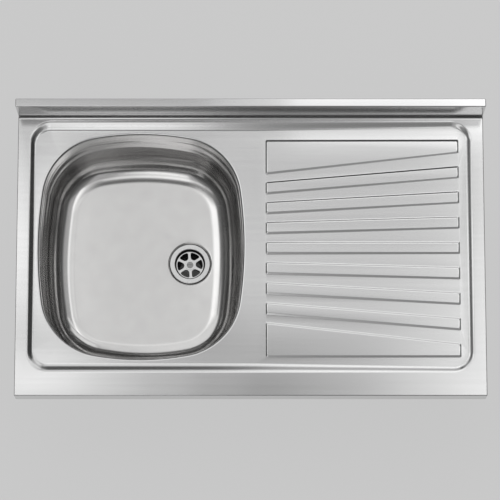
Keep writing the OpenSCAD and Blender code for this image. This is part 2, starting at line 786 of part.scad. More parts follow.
// The bracket of the right-hand edge, before it is placed along the edge
module bracket() {
    lip_x = half_w - return_w;
    inner = lip_x - bracket_play - bracket_t;
    outer = lip_x + sheet + bracket_play;
    top = lip_h + bracket_play;
    color("lightsteelblue") difference() {
        union() {
            translate([inner, -bracket_w / 2, -bracket_drop])
                cube([bracket_t, bracket_w, bracket_drop + top + bracket_t]);
            translate([inner, -bracket_w / 2, top])
                cube([outer + bracket_t - inner, bracket_w, bracket_t]);
            translate([outer, -bracket_w / 2, top - hook_in])
                cube([bracket_t, bracket_w, hook_in + bracket_t]);
        }
        translate([inner - eps, 0, hole_z]) rotate([0, 90, 0])
            cylinder(bracket_t + 2 * eps, d = bracket_hole_d, $fn = 48);
        translate([inner - eps, 0, slot_z]) rotate([slot_tilt, 0, 0]) rotate([0, 90, 0]) {
            for (s = [-1, 1]) translate([0, s * (slot_len - bracket_hole_d) / 2, 0])
                cylinder(bracket_t + 2 * eps, d = bracket_hole_d, $fn = 48);
            translate([-bracket_hole_d / 2, -(slot_len - bracket_hole_d) / 2, 0])
                cube([bracket_hole_d, slot_len - bracket_hole_d, bracket_t + 2 * eps]);
        }
    }
}

module bracket_right_front() {
    translate([0, -bracket_y, 0]) bracket();
}

module bracket_right_rear() {
    translate([0, bracket_y, 0]) bracket();
}

module bracket_left_front() {
    mirror([1, 0, 0]) translate([0, -bracket_y, 0]) bracket();
}

module bracket_left_rear() {
    mirror([1, 0, 0]) translate([0, bracket_y, 0]) bracket();
}

deck();
bowl();
waste_flange();
waste_screw();
waste_top_gasket();
waste_lower_gasket();
waste_body();
waste_nut();
bowl_floor_pad();
bowl_front_pad();
bowl_rear_pad();
drainer_pad();
front_channel();
drainer_brace_near();
drainer_brace_far();
earth_tag();
bracket_left_front();
bracket_left_rear();
bracket_right_front();
bracket_right_rear();
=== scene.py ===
import math

import bmesh
import bpy
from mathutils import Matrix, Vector


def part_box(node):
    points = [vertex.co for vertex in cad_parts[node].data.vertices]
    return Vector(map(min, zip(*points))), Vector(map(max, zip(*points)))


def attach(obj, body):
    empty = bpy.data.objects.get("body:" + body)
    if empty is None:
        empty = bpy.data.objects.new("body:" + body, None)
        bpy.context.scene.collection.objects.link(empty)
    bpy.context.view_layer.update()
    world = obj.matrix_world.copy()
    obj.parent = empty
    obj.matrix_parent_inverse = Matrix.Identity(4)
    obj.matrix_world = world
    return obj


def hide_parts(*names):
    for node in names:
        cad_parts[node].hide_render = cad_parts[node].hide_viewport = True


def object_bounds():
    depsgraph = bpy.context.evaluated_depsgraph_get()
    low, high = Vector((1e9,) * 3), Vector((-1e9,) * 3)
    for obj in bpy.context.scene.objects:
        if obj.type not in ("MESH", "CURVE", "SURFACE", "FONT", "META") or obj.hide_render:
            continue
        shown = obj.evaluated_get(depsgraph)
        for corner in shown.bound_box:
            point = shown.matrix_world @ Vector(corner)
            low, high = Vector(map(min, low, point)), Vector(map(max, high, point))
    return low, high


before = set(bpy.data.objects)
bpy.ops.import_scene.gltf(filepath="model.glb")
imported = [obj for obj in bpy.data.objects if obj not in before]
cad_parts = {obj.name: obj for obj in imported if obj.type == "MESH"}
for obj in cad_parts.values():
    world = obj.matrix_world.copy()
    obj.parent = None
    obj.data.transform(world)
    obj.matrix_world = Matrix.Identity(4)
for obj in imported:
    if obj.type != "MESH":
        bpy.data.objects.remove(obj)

cad_low, cad_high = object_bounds()

# Sizes in metres, as in the frame: +X to the right, +Y to the wall, +Z up
MM = 0.001
touch = 0.01 * MM  # points closer than this are one point
level = 0.99  # a face whose normal rises more steeply than this is level

# Deck: rim, folded edges with their return and lip, and the upstand at the rear
_, deck_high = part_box("deck")
half_w = deck_high.x
half_d = deck_high.y
top_z = deck_high.z
rim_z = 38 * MM
sheet_t = 0.8 * MM
fold_r = 1.8 * MM
return_w = 16 * MM
lip_h = 8 * MM
upstand_t = 14.5 * MM
bend_r = 5 * MM
face_y = half_d - upstand_t
fold_steps = 8

# Wet area, sunk below the rim, with a floor that rises to the drainer's far end
rim_side = 19.5 * MM
rim_front = 39 * MM
rim_rear = 1.5 * MM
wet_left = -half_w + rim_side
wet_right = half_w - rim_side
wet_front = -half_d + rim_front
wet_back = face_y - bend_r - rim_rear
wet_depth = 7 * MM
wet_r = 37 * MM
drain_rise = 2.5 * MM
slope_side = 11.5 * MM
slope_long = 18 * MM
slope_far = slope_long * (wet_depth - drain_rise) / wet_depth
wet_z = rim_z - wet_depth

# Bowl, and the flat strips between its rolled edge and the slopes
roll_r = 4 * MM
side_strip = 3.2 * MM
front_strip = 3.5 * MM
rear_strip = 1.5 * MM
bowl_left = wet_left + slope_side + side_strip + roll_r
bowl_front = wet_front + slope_long + front_strip + roll_r
bowl_rear = wet_back - slope_long - rear_strip - roll_r
bowl_w = 349 * MM
bowl_l = bowl_rear - bowl_front
bowl_x = bowl_left + bowl_w / 2
bowl_y = (bowl_front + bowl_rear) / 2
bowl_depth = 150 * MM
side_r = 700 * MM
end_r = 442 * MM
corner_r = 108 * MM
draft = math.radians(5)
floor_r = 44 * MM
floor_fall = 4 * MM
weld_gap = 0.05 * MM

# Outlet, with the seat pressed for the waste's flange
flange_low, flange_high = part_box("waste_flange")
outlet_x = (flange_low.x + flange_high.x) / 2
outlet_y = (flange_low.y + flange_high.y) / 2
outlet_z = wet_z - bowl_depth - floor_fall
seat_drop = 2.6 * MM
seat_r = 35.6 * MM
seat_ease = 0.8 * MM
seat_edge = seat_r + seat_drop + seat_ease
hole_r = 28.5 * MM
flange_r = (flange_high.x - flange_low.x) / 2

# Drainer, with ribs that fan out from the bowl
rib_count = 9
rib_w = 23.2 * MM
rib_h = 2 * MM
rib_slope = 4.5 * MM
rib_end_slope = 2.5 * MM
rib_corner = 2.2 * MM
rib_left_strip = 34.1 * MM
rib_right_strip = 11.7 * MM
rib_front_strip = 8.9 * MM
rib_rear_strip = 14.3 * MM
rib_start = bowl_left + bowl_w + roll_r + rib_left_strip
rib_end = wet_right - slope_side - rib_right_strip
rib_front = wet_front + slope_long + rib_front_strip
rib_rear = wet_back - slope_long - rib_rear_strip
rib_centre = (rib_front + rib_rear) / 2
rib_mid = (rib_count - 1) / 2
outer_rib_extra = 2 * MM  # how much wider the first and last rib are at their far end
fan = 0.79  # share of the far pitch that is left at the bowl
rib_pitch_far = ((rib_rear - rib_front) / 2 - outer_rib_extra - rib_w / 2) / rib_mid
rib_pitch_near = fan * rib_pitch_far
fold_x = rib_start - rib_left_strip / 2

SINK = "sink"  # the body that all but the brackets ride on


def ease(t):
    """From 0 to 1, level at both ends."""
    return t * t * (3 - 2 * t)


def wet_drop(x):
    """Depth of the wet area's floor below the rim at x."""
    return wet_depth - drain_rise * max(0, x - fold_x) / (wet_right - fold_x)


# Bowl's outline: the long arcs of its sides and ends, and the corner arcs between them
side_c = bowl_w / 2 - side_r
end_c = bowl_l / 2 - end_r


def corner_centre():
    """Centre of the corner arc that touches both long arcs, from the bowl's centre."""
    apart = math.hypot(side_c, end_c)
    side_reach = side_r - corner_r
    end_reach = end_r - corner_r
    along = (side_reach ** 2 - end_reach ** 2 + apart ** 2) / (2 * apart)
    across = math.sqrt(side_reach ** 2 - along ** 2)
    ux, uy = -side_c / apart, end_c / apart
    return side_c + along * ux - across * uy, along * uy + across * ux


corner_x, corner_y = corner_centre()
side_a = math.atan2(corner_y, corner_x - side_c)
end_a = math.atan2(corner_y - end_c, corner_x)


def bowl_arcs():
    """Centre, angle and steps of each arc of the outline, counterclockwise from the side at
    the drainer."""
    side_steps, corner_steps, end_steps = 16, 24, 16
    turn = end_a - side_a
    side_turn = 2 * side_a
    end_turn = math.pi - 2 * end_a
    return [
        (side_c, 0, side_turn, side_steps),
        (corner_x, corner_y, turn, corner_steps),
        (0, end_c, end_turn, end_steps),
        (-corner_x, corner_y, turn, corner_steps),
        (-side_c, 0, side_turn, side_steps),
        (-corner_x, -corner_y, turn, corner_steps),
        (0, -end_c, end_turn, end_steps),
        (corner_x, -corner_y, turn, corner_steps),
    ]


def on_start(offset, z):
    """A point of the bowl's wall section where the first arc starts, offset outwards."""
    reach = side_r + offset
    return Vector((bowl_x + side_c + reach * math.cos(side_a),
                   bowl_y - reach * math.sin(side_a), z))


def line(bm, points, closed=False):
    """Vertices joined by edges, one after the other."""
    verts = [bm.verts.new(p) for p in points]
    pairs = list(zip(verts, verts[1:]))
    if closed:
        pairs.append((verts[-1], verts[0]))
    return verts, [bm.edges.new(pair) for pair in pairs]


def sweep_round_bowl(bm, profile):
    """Spins a wall section round the bowl's opening, arc by arc, and closes the seam."""
    made = list(profile)
    last = list(profile)
    for cx, cy, turn, steps in bowl_arcs():
        before = set(bm.verts) | set(bm.edges) | set(bm.faces)
        last = bmesh.ops.spin(bm, geom=last, cent=(bowl_x + cx, bowl_y + cy, 0),
                              axis=(0, 0, 1), angle=turn, steps=steps)["geom_last"]
        made += [g for g in [*bm.verts, *bm.edges, *bm.faces] if g not in before]
    verts = [g for g in made if isinstance(g, bmesh.types.BMVert)]
    bmesh.ops.remove_doubles(bm, verts=verts, dist=touch)


def finish_mesh(bm, name, up_at):
    """Merges doubles, turns the faces so that the one nearest up_at faces up, and makes the
    object."""
    bmesh.ops.remove_doubles(bm, verts=bm.verts, dist=touch)
    bmesh.ops.recalc_face_normals(bm, faces=bm.faces)
    near = min(bm.faces, key=lambda f: (f.calc_center_median() - Vector(up_at)).length)
    if near.normal.z < 0:
        bmesh.ops.reverse_faces(bm, faces=bm.faces)
    for face in bm.faces:
        face.smooth = True
    mesh = bpy.data.meshes.new(name)
    bm.to_mesh(mesh)
    bm.free()
    piece = bpy.data.objects.new(name, mesh)
    bpy.context.scene.collection.objects.link(piece)
    return piece


def thicken(piece, thickness):
    """Gives a sheet its thickness below its faces, then keeps its flats flat in the shading."""
    wall = piece.modifiers.new("sheet thickness", "SOLIDIFY")
    wall.thickness = thickness
    wall.offset = -1
    flats = piece.modifiers.new("flat faces stay flat", "WEIGHTED_NORMAL")
    flats.weight = 100
    flats.keep_sharp = True


# Deck
def folded_block(bm):
    """The outside of the folded edges, the rim and the upstand, as one closed block."""
    section = [(-half_d, 0, fold_r), (-half_d, rim_z, fold_r), (face_y, rim_z, bend_r),
               (face_y, top_z, fold_r), (half_d, top_z, fold_r), (half_d, 0, fold_r)]
    verts, _ = line(bm, [(-half_w + fold_r, y, z) for y, z, _ in section], closed=True)
    bm.faces.new(verts)
    for vert, (_, _, radius) in zip(verts, section):
        bmesh.ops.bevel(bm, geom=[vert], offset=radius, offset_type="OFFSET",
                        segments=fold_steps, profile=0.5, affect="VERTICES", material=-1)
    face = next(iter(bm.faces))
    out = bmesh.ops.extrude_face_region(bm, geom=[face])["geom"]
    far = [g for g in out if isinstance(g, bmesh.types.BMVert)]
    bmesh.ops.translate(bm, verts=far, vec=(2 * (half_w - fold_r), 0, 0))
    bmesh.ops.recalc_face_normals(bm, faces=bm.faces)
    for side in (-1, 1):
        round_end(bm, side)


def round_end(bm, side):
    """Rounds the edges of one end of the block in small insets along a quarter circle."""
    round_steps = 6
    cap = max(bm.faces, key=lambda f: side * f.calc_center_median().x)
    done_in, done_out = 0, 0
    for i in range(1, round_steps + 1):
        a = math.pi / 2 * i / round_steps
        inward, outward = fold_r * (1 - math.cos(a)), fold_r * math.sin(a)
        bmesh.ops.inset_region(bm, faces=[cap], thickness=inward - done_in,
                               depth=outward - done_out, use_even_offset=True)
        done_in, done_out = inward, outward


def return_and_lip(bm):
    """Opens the block's underside and turns the lip up round the opening."""
    under = max((f for f in bm.faces if f.normal.z < -level), key=lambda f: f.calc_area())
    bmesh.ops.inset_region(bm, faces=[under], thickness=return_w - fold_r,
                           use_even_offset=True)
    out = bmesh.ops.extrude_face_region(bm, geom=[under])["geom"]
    inner = [g for g in out if isinstance(g, bmesh.types.BMVert)]
    bmesh.ops.translate(bm, verts=inner, vec=(0, 0, lip_h))
    caps = [g for g in out if isinstance(g, bmesh.types.BMFace)]
    if under.is_valid:
        caps.append(under)
    bmesh.ops.delete(bm, geom=caps, context="FACES")


def open_rim(bm):
    """Takes out the flat of the rim and returns the edges round it."""
    rim = max((f for f in bm.faces if f.normal.z > level
               and abs(f.calc_center_median().z - rim_z) < touch),
              key=lambda f: f.calc_area())
    edges = list(rim.edges)
    bmesh.ops.delete(bm, geom=[rim], context="FACES_ONLY")
    return edges


def rounded_loop(bm, points, radius, height, steps, keep=()):
    """A closed line with rounded corners. height(x) gives z, and keep lists the corners that
    stay as they are."""
    verts, _ = line(bm, [(x, y, 0) for x, y in points], closed=True)
    corners = [v for k, v in enumerate(verts) if k not in keep]
    plain = [v for k, v in enumerate(verts) if k in keep]
    out = bmesh.ops.bevel(bm, geom=corners, offset=radius, offset_type="OFFSET",
                          segments=steps, profile=0.5, affect="VERTICES", material=-1)
    loop = set(out["verts"]) | set(plain)
    for vert in loop:
        vert.co.z = height(vert.co.x)
    return [e for e in bm.edges if e.verts[0] in loop and e.verts[1] in loop]


def wet_loop(bm, t):
    """The outline of the wet area at t of the way down its slope."""
    side, near, far = t * slope_side, t * slope_long, t * slope_far
    left, right = wet_left + side, wet_right - side
    points = [(left, wet_back - near), (left, wet_front + near), (fold_x, wet_front + near),
              (right, wet_front + far), (right, wet_back - far), (fold_x, wet_back - near)]
    return rounded_loop(bm, points, wet_r - side,
                        lambda x: rim_z - ease(t) * wet_drop(x), steps=14, keep=(2, 5))


def rib_y(k, x):
    """Middle of rib k at x."""
    along = (x - rib_start) / (rib_end - rib_start)
    pitch = rib_pitch_near + (rib_pitch_far - rib_pitch_near) * along
    return rib_centre + (k - rib_mid) * pitch


def rib_low(k, x):
    """Front edge of rib k at x. The first rib's runs along the drainer's front."""
    return rib_front if k == 0 else rib_y(k, x) - rib_w / 2


def rib_high(k, x):
    """Rear edge of rib k at x. The last rib's runs along the drainer's rear."""
    return rib_rear if k == rib_count - 1 else rib_y(k, x) + rib_w / 2


def rib_loop(bm, k, t):
    """The outline of rib k at t of the way up its slope."""
    inset = t * rib_slope
    left, right = rib_start + t * rib_end_slope, rib_end - t * rib_end_slope
    points = [(left, rib_high(k, left) - inset), (left, rib_low(k, left) + inset),
              (right, rib_low(k, right) + inset), (right, rib_high(k, right) - inset)]
    rise = (t + ease(t)) / 2
    return rounded_loop(bm, points, rib_corner,
                        lambda x: rim_z - wet_drop(x) + rise * rib_h, steps=5)


def stack(bm, loops):
    """Joins each closed line to the next one with a band of faces."""
    for a, b in zip(loops, loops[1:]):
        bmesh.ops.bridge_loops(bm, edges=a + b)


def fill(bm, edges):
    """Fills a flat between closed lines."""
    bmesh.ops.triangle_fill(bm, edges=edges, use_beauty=True, normal=(0, 0, 1))


def rolled_edge(bm):
    """The rim of the bowl's opening, where the deck rolls over. Returns its upper line."""
    others = set(bm.edges)
    start = bm.verts.new(on_start(roll_r, wet_z))
    tangent = Vector((math.sin(side_a), math.cos(side_a), 0))
    before = set(bm.edges)
    bmesh.ops.spin(bm, geom=[start], cent=on_start(roll_r, wet_z - roll_r),
                   axis=tangent, angle=-(math.pi / 2 - draft), steps=8)
    edges = [e for e in bm.edges if e not in before]
    verts = list({v for e in edges for v in e.verts})
    sweep_round_bowl(bm, verts + edges)
    return [e for e in bm.edges if e.is_boundary and e not in others
            and all(abs(v.co.z - wet_z) < touch for v in e.verts)]


def wet_area(bm):
    """Slope, floors, ribs and rolled edge. Returns the line at the rim."""
    slope_steps = 10
    loops = [wet_loop(bm, i / slope_steps) for i in range(slope_steps + 1)]
    stack(bm, loops)
    low = [e for e in loops[-1] if e.is_valid]
    roll = rolled_edge(bm)
    folds = [v for e in low for v in e.verts if abs(v.co.x - fold_x) < touch]
    front = min(folds, key=lambda v: v.co.y)
    back = max(folds, key=lambda v: v.co.y)
    fold = bm.edges.new((front, back))
    middle = {e: (e.verts[0].co.x + e.verts[1].co.x) / 2 for e in low}
    fill(bm, [e for e in low if middle[e] < fold_x] + [fold] + roll)
    rib_steps = 6
    outlines = []
    for k in range(rib_count):
        ribs = [rib_loop(bm, k, i / rib_steps) for i in range(rib_steps + 1)]
        stack(bm, ribs)
        fill(bm, ribs[-1])
        outlines += ribs[0]
    fill(bm, [e for e in low if middle[e] > fold_x] + [fold] + outlines)
    return loops[0]


def make_deck():
    """The deck as one sheet: folded block, open underneath, with the wet area set in its rim."""
    bm = bmesh.new()
    folded_block(bm)
    return_and_lip(bm)
    rim = open_rim(bm)
    fill(bm, rim + wet_area(bm))
    piece = finish_mesh(bm, "pressed_deck", up_at=(0, wet_front - rim_front / 4, rim_z))
    thicken(piece, sheet_t)
    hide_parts("deck")
    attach(piece, SINK)
    return piece


# Bowl: the end of the rolled edge, the fillet's centre and top in the wall's section, and the
# reach of the floor from the outlet
roll_end = (roll_r - roll_r * math.cos(draft), wet_z - roll_r + roll_r * math.sin(draft))
floor_z = wet_z - bowl_depth
fillet_z = floor_z + floor_r
fillet_top = fillet_z - floor_r * math.sin(draft)
wall_foot = roll_end[0] - (roll_end[1] - fillet_top) * math.tan(draft)
fillet_x = wall_foot - floor_r * math.cos(draft)
floor_reach = bowl_w / 2 + fillet_x + outlet_x - bowl_x


def floor_height(x, y):
    """The floor rises from the outlet's seat like a shallow cone."""
    away = math.hypot(x - outlet_x, y - outlet_y) - seat_edge
    return outlet_z + floor_fall * away / (floor_reach - seat_edge)


def bowl_profile(bm):
    """Section of the wall and its fillet, where the first arc starts."""
    wall_steps = 12
    weld = on_start(roll_end[0] - weld_gap * math.sin(draft),
                    roll_end[1] - weld_gap * math.cos(draft))
    foot = on_start(wall_foot, fillet_top)
    verts, edges = line(bm, [weld.lerp(foot, i / wall_steps) for i in range(wall_steps + 1)])
    tangent = Vector((math.sin(side_a), math.cos(side_a), 0))
    before = set(bm.edges)
    bmesh.ops.spin(bm, geom=[verts[-1]], cent=on_start(fillet_x, fillet_z), axis=tangent,
                   angle=math.pi / 2 - draft, steps=24)
    edges += [e for e in bm.edges if e not in before]
    return list({v for e in edges for v in e.verts}) + edges


def seat_loop(bm):
    """The seat pressed round the outlet, with both its bends eased. Returns its outer line."""
    section = [(seat_edge, outlet_z), (seat_edge - 0.9 * MM, outlet_z - 0.3 * MM),
               (seat_r + 0.4 * MM, outlet_z - seat_drop + 0.4 * MM),
               (seat_r - 0.6 * MM, outlet_z - seat_drop), (hole_r, outlet_z - seat_drop)]
    verts, edges = line(bm, [(outlet_x + r, outlet_y, z) for r, z in section])
    bmesh.ops.spin(bm, geom=verts + edges, cent=(outlet_x, outlet_y, 0), axis=(0, 0, 1),
                   angle=2 * math.pi, steps=sum(steps for *_, steps in bowl_arcs()),
                   use_merge=True)
    return [e for e in bm.edges if e.is_boundary
            and all(abs(v.co.z - outlet_z) < touch for v in e.verts)]


def make_bowl():
    """The bowl as one sheet: wall and fillet, floor that falls to the outlet, and seat."""
    bm = bmesh.new()
    seat = seat_loop(bm)
    sweep_round_bowl(bm, bowl_profile(bm))
    foot = [e for e in bm.edges if e.is_boundary
            and all(abs(v.co.z - floor_z) < touch for v in e.verts)]
    joined = bmesh.ops.bridge_loops(bm, edges=seat + foot)
    across = {e for f in joined["faces"] for e in f.edges} - set(seat) - set(foot)
    bmesh.ops.subdivide_edges(bm, edges=list(across), cuts=12, use_grid_fill=True)
    for vert in bm.verts:
        x, y, z = vert.co
        down = (fillet_top - z) / (fillet_top - floor_z)
        if down > 0 and math.hypot(x - outlet_x, y - outlet_y) > seat_edge + weld_gap:
            vert.co.z = max(z, floor_z) + ease(min(1, down)) * (floor_height(x, y) - floor_z)
    piece = finish_mesh(bm, "drawn_bowl", up_at=(bowl_x - bowl_w / 4, bowl_y, floor_z))
    thicken(piece, sheet_t)
    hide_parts("bowl")
    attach(piece, SINK)
    return piece


# Materials
grain_lines = 900  # per metre
grain_depth = 0.02 * MM
streak_share = 0.05  # how much the streaks lighten and darken a steel
noise_low, noise_high = 0.3, 0.7  # a noise's values mostly lie between these
draw_marks_per_metre = (4, 4, 48)
cup_shade_inset = 10.6 * MM  # the painted shade on the cup's wall starts this far inside the flange's edge


def new_material(name):
    """A material with its nodes, links and shader."""
    material = bpy.data.materials.new(name)
    material.use_nodes = True
    nodes = material.node_tree.nodes
    return material, nodes, material.node_tree.links, nodes["Principled BSDF"]


def math_node(nodes, links, operation, *values):
    """A Math node, on sockets or plain numbers."""
    node = nodes.new("ShaderNodeMath")
    node.operation = operation
    for socket, value in zip(node.inputs, values):
        if isinstance(value, bpy.types.NodeSocket):
            links.new(value, socket)
        else:
            socket.default_value = value
    return node.outputs[0]


def colour_mix(nodes, links, share, first, second):
    """A colour between two. first and second are sockets or plain colours."""
    mix = nodes.new("ShaderNodeMix")
    mix.data_type = "RGBA"
    links.new(share, mix.inputs["Factor"])
    for name, colour in (("A", first), ("B", second)):
        if isinstance(colour, bpy.types.NodeSocket):
            links.new(colour, mix.inputs[name])
        else:
            mix.inputs[name].default_value = (*colour, 1)
    return mix.outputs["Result"]


def grain_group():
    """Fine lines of a brushed finish: a height, wider streaks and patches of gloss."""
    group = bpy.data.node_groups.new("brushed grain", "ShaderNodeTree")
    sockets = group.interface
    sockets.new_socket("Lines per metre", in_out="INPUT", socket_type="NodeSocketFloat")
    sockets.new_socket("Stretch", in_out="INPUT", socket_type="NodeSocketVector")
    sockets.new_socket("Height", in_out="OUTPUT", socket_type="NodeSocketFloat")
    sockets.new_socket("Patches", in_out="OUTPUT", socket_type="NodeSocketFloat")
    sockets.new_socket("Streaks", in_out="OUTPUT", socket_type="NodeSocketFloat")
    nodes, links = group.nodes, group.links
    entry = nodes.new("NodeGroupInput")
    leave = nodes.new("NodeGroupOutput")
    place = nodes.new("ShaderNodeTexCoord")
    scale = nodes.new("ShaderNodeVectorMath")
    scale.operation = "MULTIPLY"
    links.new(place.outputs["Object"], scale.inputs[0])
    links.new(entry.outputs["Stretch"], scale.inputs[1])
    lines = nodes.new("ShaderNodeTexNoise")
    lines.inputs["Detail"].default_value = 3
    links.new(scale.outputs[0], lines.inputs["Vector"])
    links.new(entry.outputs["Lines per metre"], lines.inputs["Scale"])
    patches = nodes.new("ShaderNodeTexNoise")
    patches.inputs["Scale"].default_value = 9
    patches.inputs["Detail"].default_value = 4
    links.new(scale.outputs[0], patches.inputs["Vector"])
    streaks = nodes.new("ShaderNodeTexNoise")
    streaks.inputs["Scale"].default_value = 130
    streaks.inputs["Detail"].default_value = 3
    links.new(scale.outputs[0], streaks.inputs["Vector"])
    links.new(streaks.outputs["Fac"], leave.inputs["Streaks"])
    links.new(lines.outputs["Fac"], leave.inputs["Height"])
    links.new(patches.outputs["Fac"], leave.inputs["Patches"])
    return group


GRAIN = grain_group()


def draw_marks_group():
    """Marks that deep drawing leaves round a wall: wide soft rings at a constant height."""
    group = bpy.data.node_groups.new("draw marks", "ShaderNodeTree")
    group.interface.new_socket("Height", in_out="OUTPUT", socket_type="NodeSocketFloat")
    nodes, links = group.nodes, group.links
    leave = nodes.new("NodeGroupOutput")
    place = nodes.new("ShaderNodeTexCoord")
    scale = nodes.new("ShaderNodeVectorMath")
    scale.operation = "MULTIPLY"
    scale.inputs[1].default_value = draw_marks_per_metre
    links.new(place.outputs["Object"], scale.inputs[0])
    rings = nodes.new("ShaderNodeTexNoise")
    rings.inputs["Scale"].default_value = 1
    rings.inputs["Detail"].default_value = 1.2
    rings.inputs["Roughness"].default_value = 0.4
    links.new(scale.outputs[0], rings.inputs["Vector"])
    links.new(rings.outputs["Fac"], leave.inputs["Height"])
    return group


def add_draw_marks(material, depth):
    """Puts the rings of deep drawing under the grain of a steel."""
    nodes, links = material.node_tree.nodes, material.node_tree.links
    marks = nodes.new("ShaderNodeGroup")
    marks.node_tree = draw_marks_group()
    rings = nodes.new("ShaderNodeBump")
    rings.inputs["Strength"].default_value = 1
    rings.inputs["Distance"].default_value = depth
    links.new(marks.outputs["Height"], rings.inputs["Height"])
    grain = next(n for n in nodes if n.bl_idname == "ShaderNodeBump" and n != rings)
    links.new(rings.outputs["Normal"], grain.inputs["Normal"])


def steel(name, colour, rough, rough_range, stretch, bump):
    """Brushed metal. A stretch below 1 draws the grain out along that axis."""
    material, nodes, links, shader = new_material(name)
    shader.inputs["Metallic"].default_value = 1
    grain = nodes.new("ShaderNodeGroup")
    grain.node_tree = GRAIN
    grain.inputs["Lines per metre"].default_value = grain_lines
    grain.inputs["Stretch"].default_value = stretch
    gloss = nodes.new("ShaderNodeMapRange")
    gloss.inputs["From Min"].default_value = noise_low
    gloss.inputs["From Max"].default_value = noise_high
    gloss.inputs["To Min"].default_value = rough - rough_range
    gloss.inputs["To Max"].default_value = rough + rough_range
    links.new(grain.outputs["Patches"], gloss.inputs["Value"])
    links.new(gloss.outputs["Result"], shader.inputs["Roughness"])
    dark, light = [c * (1 - streak_share) for c in colour], [c * (1 + streak_share) for c in colour]
    shade = colour_mix(nodes, links, grain.outputs["Streaks"], dark, light)
    links.new(shade, shader.inputs["Base Color"])
    relief = nodes.new("ShaderNodeBump")
    relief.inputs["Strength"].default_value = bump
    relief.inputs["Distance"].default_value = grain_depth
    links.new(grain.outputs["Height"], relief.inputs["Height"])
    links.new(relief.outputs["Normal"], shader.inputs["Normal"])
    return material


def reach_group():
    """Distance from the outlet's axis and height, from the object's own coordinates."""
    group = bpy.data.node_groups.new("place at the outlet", "ShaderNodeTree")
    for name in ("Reach", "Height"):
        group.interface.new_socket(name, in_out="OUTPUT", socket_type="NodeSocketFloat")
    nodes, links = group.nodes, group.links
    leave = nodes.new("NodeGroupOutput")
    place = nodes.new("ShaderNodeTexCoord")
    apart = nodes.new("ShaderNodeSeparateXYZ")
    links.new(place.outputs["Object"], apart.inputs[0])
    axis = nodes.new("ShaderNodeVectorMath")
    axis.operation = "SUBTRACT"
    axis.inputs[1].default_value = (outlet_x, outlet_y, 0)
    links.new(place.outputs["Object"], axis.inputs[0])
    flat = nodes.new("ShaderNodeVectorMath")
    flat.operation = "MULTIPLY"
    flat.inputs[1].default_value = (1, 1, 0)
    links.new(axis.outputs[0], flat.inputs[0])
    reach = nodes.new("ShaderNodeVectorMath")
    reach.operation = "LENGTH"
    links.new(flat.outputs[0], reach.inputs[0])
    links.new(reach.outputs["Value"], leave.inputs["Reach"])
    links.new(apart.outputs["Z"], leave.inputs["Height"])
    return group


def band(nodes, links, value, start, end):
    """Goes softly from 0 at start to 1 at end."""
    ramp = nodes.new("ShaderNodeMapRange")
    ramp.interpolation_type = "SMOOTHSTEP"
    ramp.inputs["From Min"].default_value = start
    ramp.inputs["From Max"].default_value = end
    links.new(value, ramp.inputs["Value"])
    return ramp.outputs["Result"]


def paint_cup_shade(material):
    """Paints shade on the cup's wall, from just below the flange's top downwards: painted shade
    mixed into the steel's colour.
    """
    nodes, links = material.node_tree.nodes, material.node_tree.links
    shader = nodes["Principled BSDF"]
    place = nodes.new("ShaderNodeGroup")
    place.node_tree = reach_group()
    wall_starts, wall_full = flange_r - cup_shade_inset - 0.8 * MM, flange_r - cup_shade_inset - 0.4 * MM
    below_starts, below_full = flange_high.z - 0.8 * MM, flange_high.z - 1.4 * MM
    wall = band(nodes, links, place.outputs["Reach"], wall_starts, wall_full)
    below = band(nodes, links, place.outputs["Height"], below_starts, below_full)
    cup_shade_mask = math_node(nodes, links, "MULTIPLY", wall, below)
    unshaded_colour = shader.inputs["Base Color"].links[0].from_socket
    # painted shade: the cup's wall below the flange's top is mixed to near black
    dark = colour_mix(nodes, links, cup_shade_mask, unshaded_colour, (0.03, 0.03, 0.03))
    links.new(dark, shader.inputs["Base Color"])


def soft_matt(name, colour, rough, speck_scale, speck_depth):
    """Rubber, bitumen felt or moulded plastic: a matt colour with small specks."""
    dark, light = [c * 0.85 for c in colour], [c * 1.12 for c in colour]
    material, nodes, links, shader = new_material(name)
    place = nodes.new("ShaderNodeTexCoord")
    specks = nodes.new("ShaderNodeTexNoise")
    specks.inputs["Scale"].default_value = speck_scale
    specks.inputs["Detail"].default_value = 4
    links.new(place.outputs["Object"], specks.inputs["Vector"])
    shade = colour_mix(nodes, links, specks.outputs["Fac"], dark, light)
    links.new(shade, shader.inputs["Base Color"])
    shader.inputs["Roughness"].default_value = rough
    relief = nodes.new("ShaderNodeBump")
    relief.inputs["Strength"].default_value = 0.5
    relief.inputs["Distance"].default_value = speck_depth
    links.new(specks.outputs["Fac"], relief.inputs["Height"])
    links.new(relief.outputs["Normal"], shader.inputs["Normal"])
    return material


def dress(piece, material):
    """Puts one material on every slot of a piece."""
    slots = piece.data.materials
    if not slots:
        slots.append(material)
    for k in range(len(slots)):
        slots[k] = material


